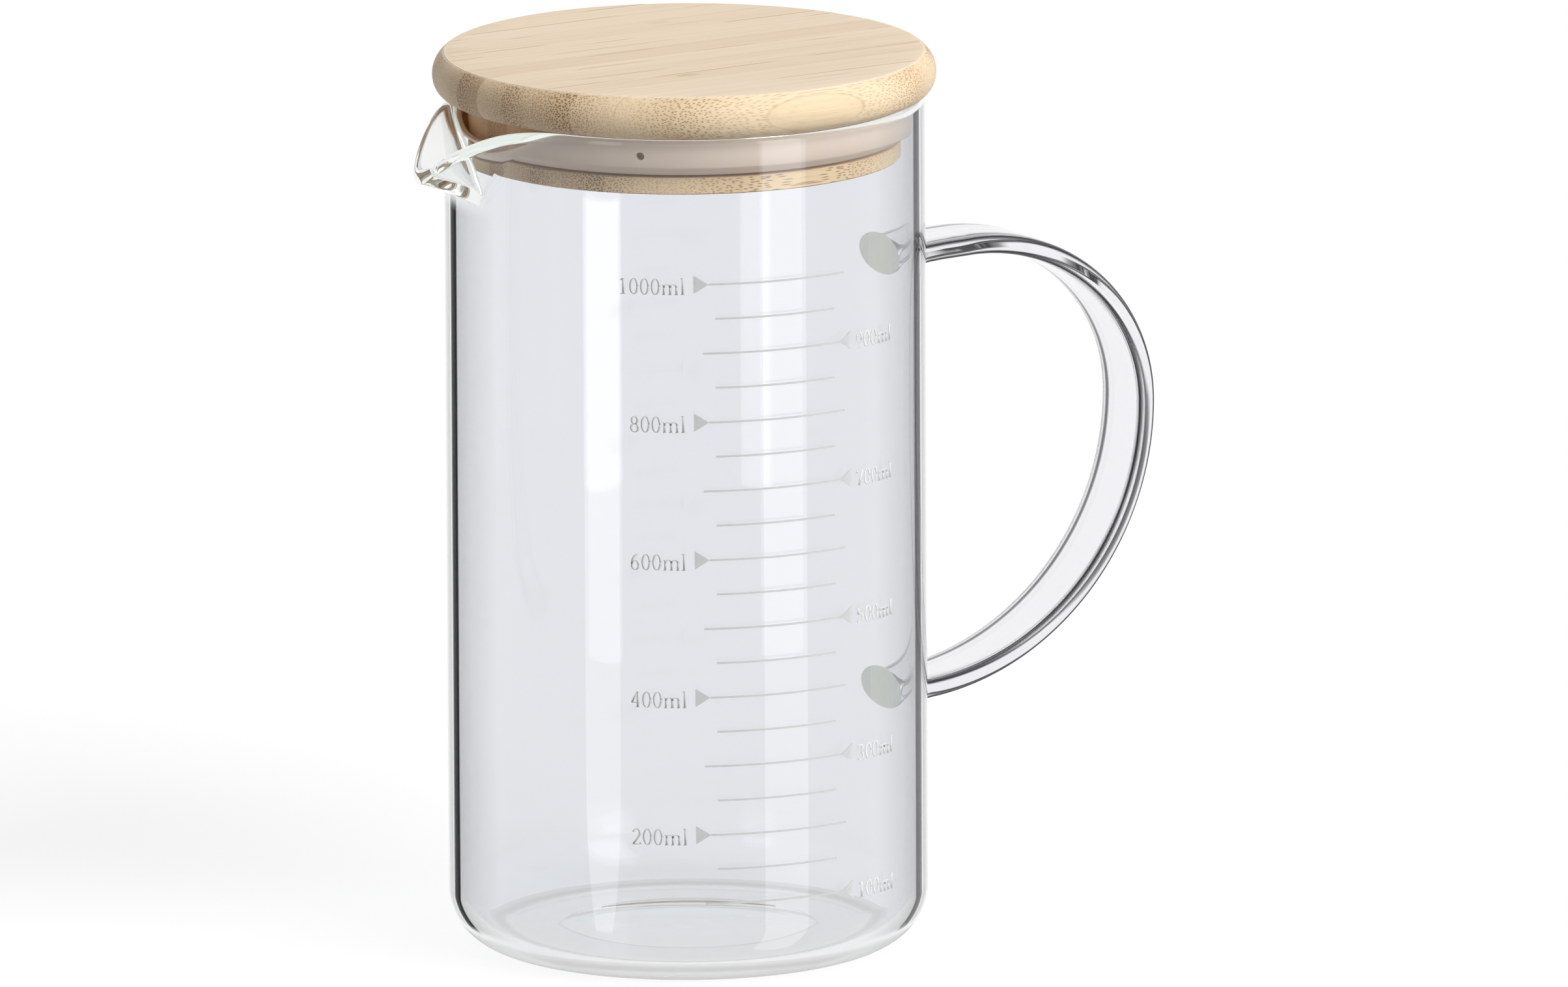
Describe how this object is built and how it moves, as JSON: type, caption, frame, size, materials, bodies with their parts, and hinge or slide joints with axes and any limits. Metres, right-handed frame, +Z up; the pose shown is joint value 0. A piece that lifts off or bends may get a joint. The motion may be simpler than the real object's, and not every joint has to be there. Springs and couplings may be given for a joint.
{
  "type": "measuring jug",
  "caption": "Straight clear glass measuring jug with a pulled spout, a welded strap handle, a printed millilitre scale and a plug-in bamboo lid with a silicone lip seal.",
  "frame": {"origin": "on the jug's axis, at the surface that it stands on", "axes": "+Z up along the jug's axis, +X towards the handle, -X towards the spout"},
  "size_m": [0.1717, 0.1036, 0.1873],
  "materials": {
    "glass": "fire-polished clear borosilicate",
    "scale_ink": "pale grey fired print",
    "silicone": "translucent whitish silicone",
    "bamboo": "sanded, thinly oiled bamboo"
  },
  "bodies": {
    "jug": {"glass_body": "glass", "handle": "glass", "scale_lines": "scale_ink", "scale_half_lines": "scale_ink", "scale_pointers": "scale_ink"},
    "seal": {"lid_seal": "silicone"},
    "lid": {"lid_strip_1": "bamboo", "lid_strip_2": "bamboo", "lid_strip_3": "bamboo", "lid_strip_4": "bamboo", "lid_strip_5": "bamboo", "lid_strip_6": "bamboo", "lid_strip_7": "bamboo", "lid_strip_8": "bamboo", "lid_strip_9": "bamboo", "lid_strip_10": "bamboo", "lid_strip_11": "bamboo", "lid_strip_12": "bamboo", "lid_strip_13": "bamboo", "lid_strip_14": "bamboo"}
  },
  "joints": [
    {"name": "lid_lift", "type": "slide", "parent": "jug", "child": "seal", "axis": [0, 0, 1], "range_m": [0, 0.06]},
    {"name": "lid_turn", "type": "hinge", "parent": "seal", "child": "lid", "pos_m": [0, 0, 0.172], "axis": [0, 0, 1], "continuous": true}
  ]
}
